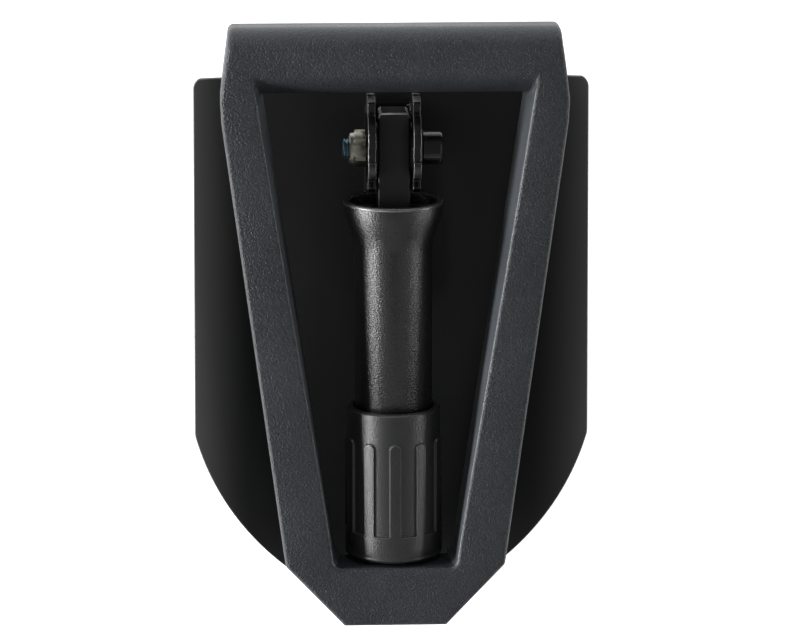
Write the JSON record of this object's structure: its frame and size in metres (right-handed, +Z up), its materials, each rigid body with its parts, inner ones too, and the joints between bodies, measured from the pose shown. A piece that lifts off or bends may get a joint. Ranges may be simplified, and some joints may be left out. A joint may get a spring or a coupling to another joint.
{
  "type": "folding camp shovel",
  "caption": "Folding camp shovel stored flat: dished pointed blade, toothed hinge, sliding locking sleeve with a ribbed grip collar, and a triangular frame handle.",
  "frame": {"origin": "centre of the folded shovel's footprint, on the ground under the blade's convex back", "axes": "+Y along the shaft from the blade tip to the hinge end, +Z up from the blade's back to the handle's front face, +X across the blade"},
  "size_m": [0.1584, 0.249, 0.05],
  "materials": {
    "blade_steel": "satin black powder coat",
    "bracket_steel": "semi-gloss black",
    "rivet_steel": "semi-gloss black",
    "black_fastener": "black oxide",
    "zinc_nut": "zinc plated",
    "nylon": "nylon",
    "bronze": "plain",
    "tongue_metal": "satin black",
    "plain_steel": "plain",
    "tube_coat": "textured black",
    "grip_plastic": "moulded",
    "seal_rubber": "matt",
    "handle_cast": "fine moulded texture, dark grey"
  },
  "bodies": {
    "shaft": {"tongue_block": "tongue_metal", "tongue_pin": "plain_steel", "shim_left": "bronze", "shim_right": "bronze", "shaft_rod": "plain_steel", "thrust_ring": "plain_steel", "thrust_clip": "plain_steel", "handle_eye": "plain_steel", "eye_pin": "plain_steel"},
    "blade": {"blade_plate": "blade_steel", "hinge_bracket": "bracket_steel", "rivet_a": "rivet_steel", "rivet_b": "rivet_steel", "rivet_c": "rivet_steel", "rivet_d": "rivet_steel", "hinge_bolt": "black_fastener", "bolt_washer": "black_fastener", "hinge_nut": "zinc_nut", "nut_ring": "nylon", "hinge_bush": "bronze"},
    "sleeve": {"sleeve_tube": "tube_coat", "mouth_ring": "tube_coat", "lock_insert": "plain_steel", "sleeve_bush": "bronze", "thread_end": "plain_steel"},
    "collar": {"collar_shell": "grip_plastic", "collar_insert": "plain_steel", "collar_cap": "grip_plastic", "collar_seal": "seal_rubber"},
    "handle": {"handle_frame": "handle_cast", "pivot_pin": "plain_steel", "pivot_clip": "plain_steel", "pivot_disc_left": "bronze", "pivot_disc_right": "bronze", "pivot_bush": "bronze"}
  },
  "joints": [
    {"name": "handle_fold", "type": "hinge", "parent": "shaft", "child": "handle", "pos_m": [0, -0.1048, 0.03], "axis": [1, 0, 0], "range_deg": [0, 180]},
    {"name": "blade_fold", "type": "hinge", "parent": "shaft", "child": "blade", "pos_m": [0, 0.0745, 0.03], "axis": [1, 0, 0], "range_deg": [0, 180]},
    {"name": "sleeve_slide", "type": "slide", "parent": "shaft", "child": "sleeve", "axis": [0, 1, 0], "range_m": [0, 0.0085]},
    {"name": "collar_turn", "type": "hinge", "parent": "shaft", "child": "collar", "pos_m": [0, -0.0585, 0.03], "axis": [0, 1, 0], "range_deg": [-1020.1, 0]}
  ],
  "couplings": [
    {"joint": "blade_fold", "follows": "handle_fold", "ratio": 1},
    {"joint": "collar_turn", "follows": "sleeve_slide", "rad_per_m": -2094.4}
  ]
}
